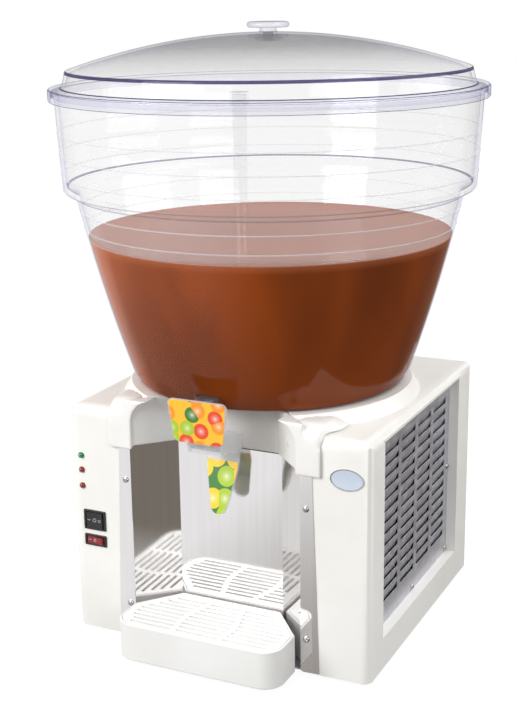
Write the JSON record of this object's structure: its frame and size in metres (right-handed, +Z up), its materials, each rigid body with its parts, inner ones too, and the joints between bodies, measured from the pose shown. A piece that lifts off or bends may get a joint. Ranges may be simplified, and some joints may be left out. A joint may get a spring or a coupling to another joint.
{
  "type": "cold drink dispenser",
  "caption": "Counter-top cold drink dispenser: clear lidded bowl with a fountain pump on a refrigerated base, push-lever tap in a stainless recess, drip tray and louvred sides.",
  "frame": {"origin": "on the table, under the bowl's axis", "axes": "+Z up, -Y towards the front with the tap, +X to the right of someone facing the tap"},
  "size_m": [0.53, 0.53, 0.7564],
  "materials": {
    "housing_white": "satin moulded plastic, warm white",
    "hood_white": "glossy moulded plastic, white",
    "tray_white": "glossy moulded plastic, white",
    "stainless": "polished stainless sheet",
    "galvanised": "galvanised sheet, pressed louvres",
    "screw_steel": "plated steel",
    "black_rubber": "black rubber",
    "seal_rubber": "pale silicone rubber",
    "lamp_green": "clear green lens",
    "lamp_red": "clear red lens",
    "switch_black": "black switch plastic",
    "rocker_red": "clear red rocker",
    "clear_bowl": "clear polycarbonate",
    "drink_brown": "opaque brown drink",
    "pump_white": "white food-grade plastic",
    "lever_plastic": "translucent white plastic",
    "motor_grey": "grey painted steel",
    "compressor_black": "black enamel",
    "condenser_fins": "plain fins",
    "copper": "bare copper",
    "fan_plastic": "dark moulded plastic"
  },
  "bodies": {
    "base": {"base_pan": "galvanised", "rubber_feet": "black_rubber", "housing": "housing_white", "tap_hood": "hood_white", "recess_liner": "stainless", "liner_screws": "screw_steel", "left_louvre_panel": "galvanised", "right_louvre_panel": "galvanised", "side_panel_screws": "screw_steel", "rear_panel": "galvanised", "rear_panel_screws": "screw_steel", "cord_gland": "black_rubber", "lamp_green": "lamp_green", "lamp_red_upper": "lamp_red", "lamp_red_lower": "lamp_red", "upper_switch_case": "switch_black", "lower_switch_case": "switch_black", "evaporator_drum": "stainless", "drum_plate": "galvanised", "pump_motor": "motor_grey", "rotor_pin": "stainless", "pump_cover": "pump_white", "spray_tube": "clear_bowl", "spray_cap": "pump_white", "compressor": "compressor_black", "compressor_mounts": "black_rubber", "condenser": "condenser_fins", "fan_shroud": "galvanised", "fan_motor": "motor_grey", "fan_bracket": "galvanised", "filter_drier": "copper", "thermostat": "pump_white"},
    "upper_rocker": {"upper_rocker": "switch_black"},
    "lower_rocker": {"lower_rocker": "rocker_red"},
    "pump_drive": {"drive_magnet": "motor_grey", "pump_rotor": "pump_white"},
    "fan_blade": {"fan_blade": "fan_plastic"},
    "bowl": {"bowl": "clear_bowl", "bowl_gasket": "seal_rubber", "drink": "drink_brown", "tap_body": "clear_bowl", "lever_pin": "stainless", "plunger_spring": "stainless"},
    "tap_lever": {"tap_lever": "lever_plastic"},
    "plunger": {"valve_plunger": "pump_white", "plunger_seal": "seal_rubber"},
    "lid": {"lid": "clear_bowl", "lid_knob": "clear_bowl", "knob_nut": "clear_bowl"},
    "drip_tray": {"drip_tray": "tray_white"},
    "tray_grille": {"tray_grille": "tray_white"}
  },
  "joints": [
    {"name": "bowl_lift", "type": "slide", "parent": "base", "child": "bowl", "axis": [0, 0, 1], "range_m": [0, 0.38]},
    {"name": "lid_lift", "type": "slide", "parent": "bowl", "child": "lid", "axis": [0, 0, 1], "range_m": [0, 0.15]},
    {"name": "lever_push", "type": "hinge", "parent": "bowl", "child": "tap_lever", "pos_m": [0, -0.193, 0.293], "axis": [1, 0, 0], "range_deg": [0, 10], "stiffness_Nm_per_rad": 2, "springref_deg": -11.46},
    {"name": "plunger_lift", "type": "slide", "parent": "bowl", "child": "plunger", "axis": [0, 0, 1], "range_m": [0, 0.0035], "deforming": ["plunger_spring"]},
    {"name": "tray_slide", "type": "slide", "parent": "base", "child": "drip_tray", "axis": [0, -1, 0], "range_m": [0, 0.12]},
    {"name": "grille_lift", "type": "slide", "parent": "drip_tray", "child": "tray_grille", "axis": [0, 0, 1], "range_m": [0, 0.05]},
    {"name": "upper_rocker_tilt", "type": "hinge", "parent": "base", "child": "upper_rocker", "pos_m": [-0.168, -0.165, 0.154], "axis": [0, 0, 1], "range_deg": [-8, 8]},
    {"name": "lower_rocker_tilt", "type": "hinge", "parent": "base", "child": "lower_rocker", "pos_m": [-0.168, -0.165, 0.127], "axis": [0, 0, 1], "range_deg": [0, 16]},
    {"name": "fan_spin", "type": "hinge", "parent": "base", "child": "fan_blade", "pos_m": [0.12, 0.022, 0.128], "axis": [1, 0, 0], "continuous": true},
    {"name": "pump_spin", "type": "hinge", "parent": "base", "child": "pump_drive", "pos_m": [0, 0, 0.43], "axis": [0, 0, 1], "continuous": true}
  ],
  "couplings": [
    {"joint": "plunger_lift", "follows": "lever_push", "m_per_rad": 0.016}
  ]
}
